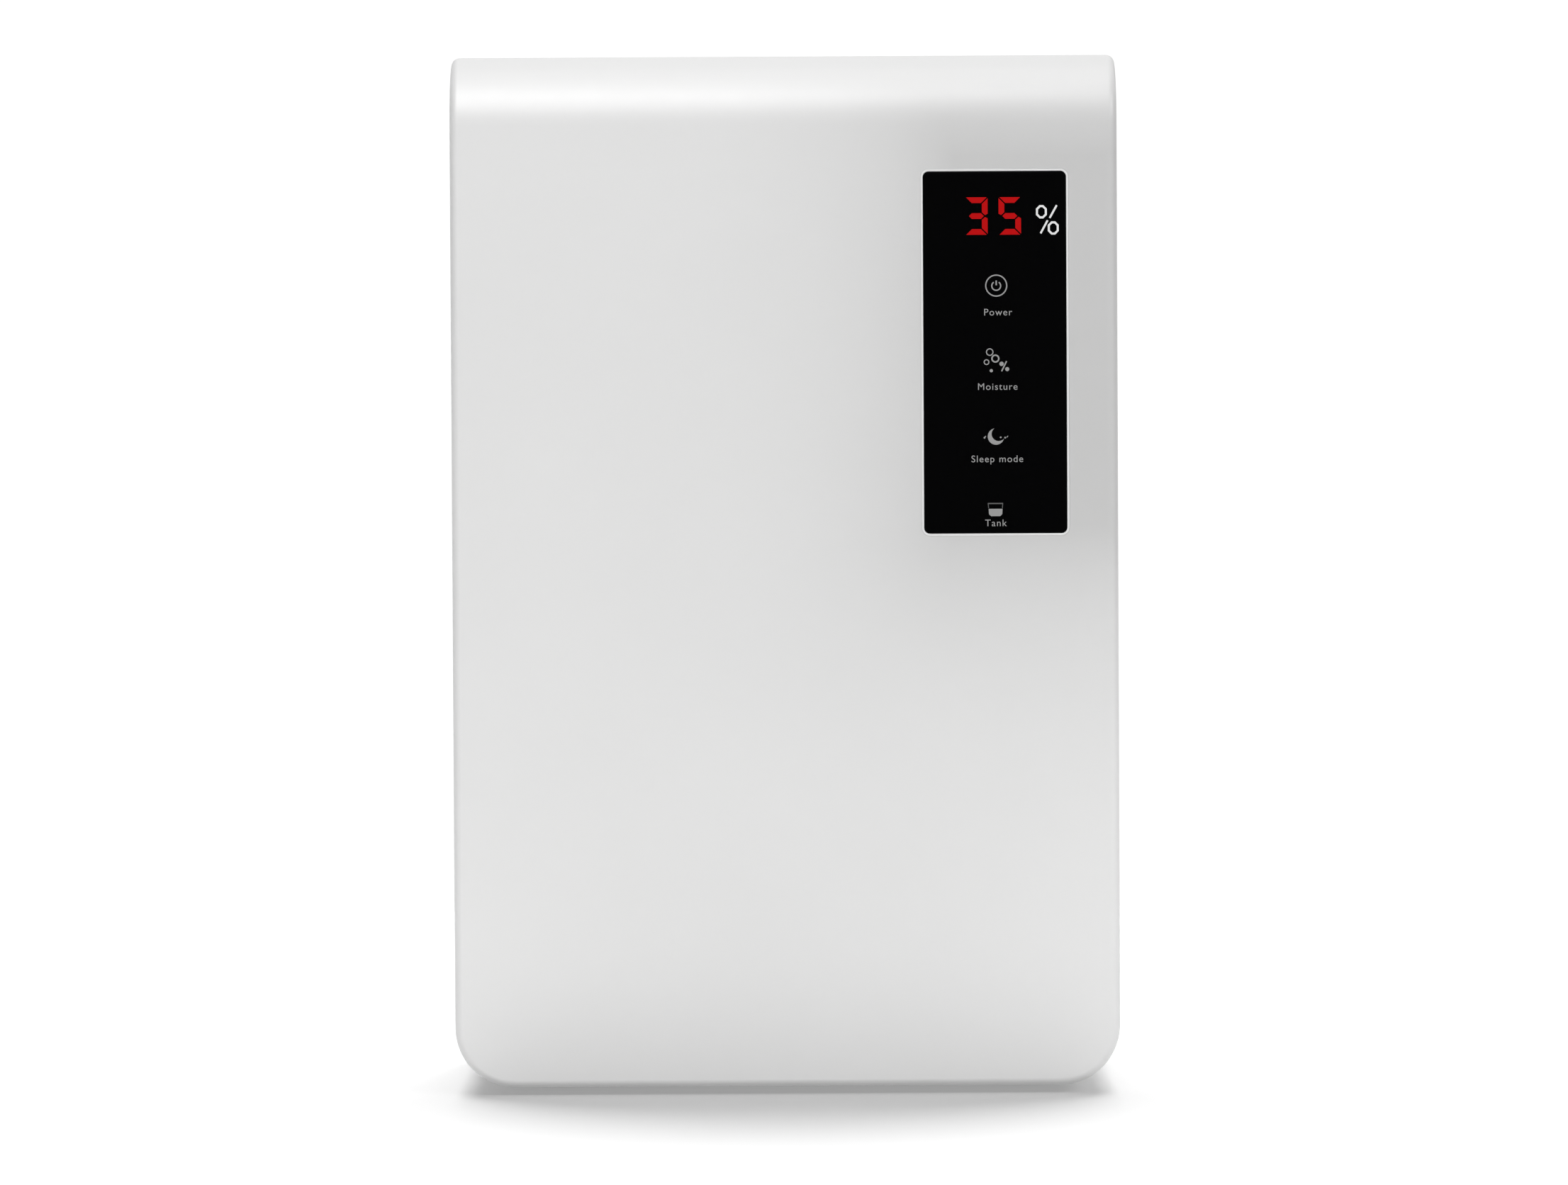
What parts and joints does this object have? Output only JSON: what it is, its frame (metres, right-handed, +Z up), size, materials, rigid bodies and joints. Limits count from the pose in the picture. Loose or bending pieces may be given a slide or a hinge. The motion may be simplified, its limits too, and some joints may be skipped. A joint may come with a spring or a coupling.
{
  "type": "thermoelectric dehumidifier",
  "caption": "Upright desktop dehumidifier with a smooth rolled-top front, a black touch display, a rear water tank, an intake grille and a thermoelectric core with a fan.",
  "frame": {"origin": "on the ground under the middle of the housing", "axes": "+Z up, -Y out of the display face, +X to the right of someone looking at the display"},
  "size_m": [0.226, 0.142, 0.353],
  "materials": {
    "housing_white": "smooth satin white moulded ABS",
    "inner_grey": "grey moulded ABS",
    "frame_black": "black moulded plastic",
    "display_black": "polished black touch glass with lit marks",
    "tank_clear": "smoky translucent polystyrene",
    "circuit": "green solder mask",
    "aluminium": "extruded aluminium",
    "steel": "zinc plated steel",
    "copper": "copper wire and spring bronze",
    "ceramic": "white alumina plates",
    "foam": "closed cell foam",
    "rubber": "black rubber",
    "wire_red": "red PVC insulation",
    "wire_black": "black PVC insulation"
  },
  "bodies": {
    "housing": {"front_panel": "housing_white", "rear_housing": "housing_white", "top_grille": "inner_grey", "base_plate": "housing_white", "foot_1": "rubber", "foot_2": "rubber", "foot_3": "rubber", "foot_4": "rubber", "display_bezel": "housing_white", "display_glass": "display_black", "light_mask": "frame_black", "digit_module": "frame_black", "display_board": "circuit", "touch_spring_power": "copper", "touch_spring_humidity": "copper", "touch_spring_quiet": "copper", "inner_chassis": "inner_grey", "level_sensor": "frame_black", "drip_tray": "housing_white", "air_divider": "inner_grey", "cold_sink": "aluminium", "peltier_module": "ceramic", "sink_gasket": "foam", "hot_sink": "aluminium", "fan_deck": "inner_grey", "fan_frame": "frame_black", "fan_stator": "copper", "main_board": "circuit", "humidity_sensor": "circuit", "dc_jack": "frame_black", "display_cable": "inner_grey", "power_lead": "wire_black", "fan_lead": "wire_black", "peltier_lead_red": "wire_red", "peltier_lead_black": "wire_black", "fan_screw_1": "steel", "fan_screw_2": "steel", "fan_screw_3": "steel", "fan_screw_4": "steel", "housing_screw_1": "steel", "housing_screw_2": "steel", "housing_screw_3": "steel", "housing_screw_4": "steel", "board_screw_1": "steel", "board_screw_2": "steel", "display_screw_1": "steel", "display_screw_2": "steel", "sink_screw_1": "steel", "sink_screw_2": "steel"},
    "tank": {"tank": "tank_clear", "tank_lid": "inner_grey", "tank_face": "housing_white"},
    "tank_handle": {"tank_handle": "inner_grey"},
    "float": {"float_arm": "housing_white", "float_magnet": "steel"},
    "fan_rotor": {"fan_rotor": "frame_black"},
    "intake_grille": {"intake_grille": "housing_white", "air_filter": "frame_black"}
  },
  "joints": [
    {"name": "tank_slide", "type": "slide", "parent": "housing", "child": "tank", "axis": [0, 1, 0], "range_m": [0, 0.125]},
    {"name": "handle_flip", "type": "hinge", "parent": "tank", "child": "tank_handle", "pos_m": [0, 0.0675, 0.1215], "axis": [1, 0, 0], "range_deg": [0, 90]},
    {"name": "float_lift", "type": "hinge", "parent": "tank", "child": "float", "pos_m": [-0.06, -0.007, 0.129], "axis": [-1, 0, 0], "range_deg": [0, 26]},
    {"name": "fan_spin", "type": "hinge", "parent": "housing", "child": "fan_rotor", "pos_m": [0, 0, 0.3023], "axis": [0, 0, 1], "continuous": true},
    {"name": "intake_tilt", "type": "hinge", "parent": "housing", "child": "intake_grille", "pos_m": [0, 0.0686, 0.1728], "axis": [-1, 0, 0], "range_deg": [0, 75]}
  ]
}
